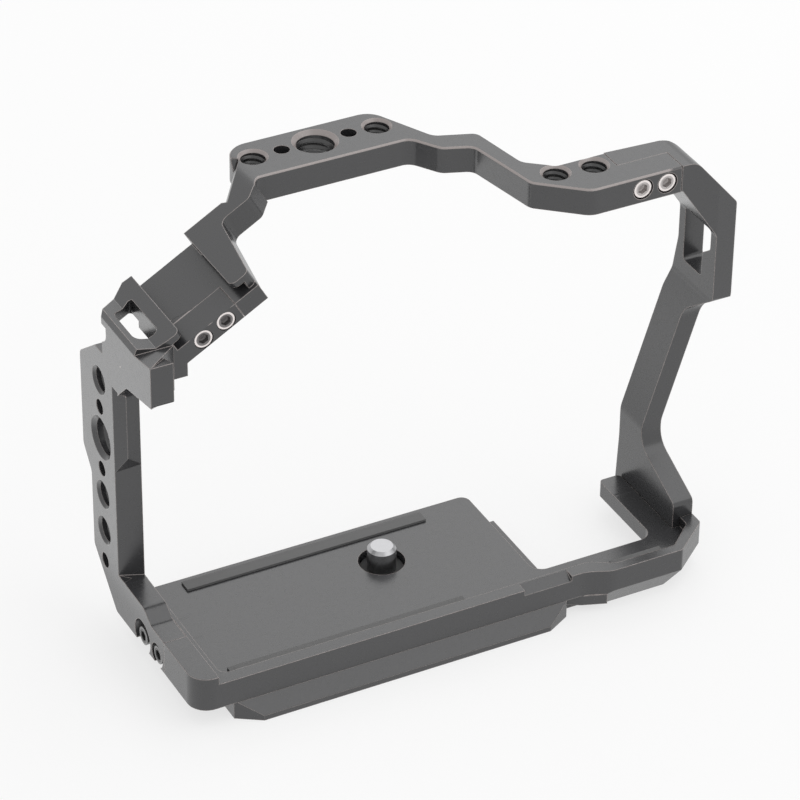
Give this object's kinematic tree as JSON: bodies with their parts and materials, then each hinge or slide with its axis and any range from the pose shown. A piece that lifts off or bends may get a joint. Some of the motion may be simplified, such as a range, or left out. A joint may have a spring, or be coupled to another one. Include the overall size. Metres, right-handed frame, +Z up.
{
  "type": "camera cage",
  "caption": "Metal cage that wraps a small mirrorless camera: accessory threads, slanted cold shoe, strap slots and a dovetail base with a captive camera screw.",
  "frame": {"origin": "centre of the mouth of the 3/8 in hole in the top bar's accessory plate, on the plate's top face and on the lens axis", "axes": "+Z up, +Y forward towards the lens, +X to the right for someone behind the camera"},
  "size_m": [0.131, 0.0654, 0.0937],
  "materials": {
    "frame_black": "black anodised, fine satin",
    "screw_steel": "bright stainless steel",
    "camera_screw_steel": "turned stainless steel",
    "ring_black": "matt black nylon",
    "pad_rubber": "soft grey-black rubber"
  },
  "bodies": {
    "cage": {"base_plate": "frame_black", "left_side_frame": "frame_black", "top_bar": "frame_black", "right_side_frame": "frame_black", "left_joint_screws": "screw_steel", "right_joint_screws": "screw_steel", "left_foot_screws": "screw_steel", "right_foot_screws": "screw_steel", "rear_pad": "pad_rubber", "heel_pad": "pad_rubber", "front_pad": "pad_rubber"},
    "screw_carrier": {"camera_screw_ring": "ring_black"},
    "camera_screw": {"camera_screw": "camera_screw_steel"}
  },
  "joints": [
    {"name": "camera_screw_lift", "type": "slide", "parent": "cage", "child": "screw_carrier", "axis": [0, 0, 1], "range_m": [0, 0.0015]},
    {"name": "camera_screw_turn", "type": "hinge", "parent": "screw_carrier", "child": "camera_screw", "pos_m": [0, -0.031, -0.088], "axis": [0, 0, 1], "continuous": true}
  ]
}
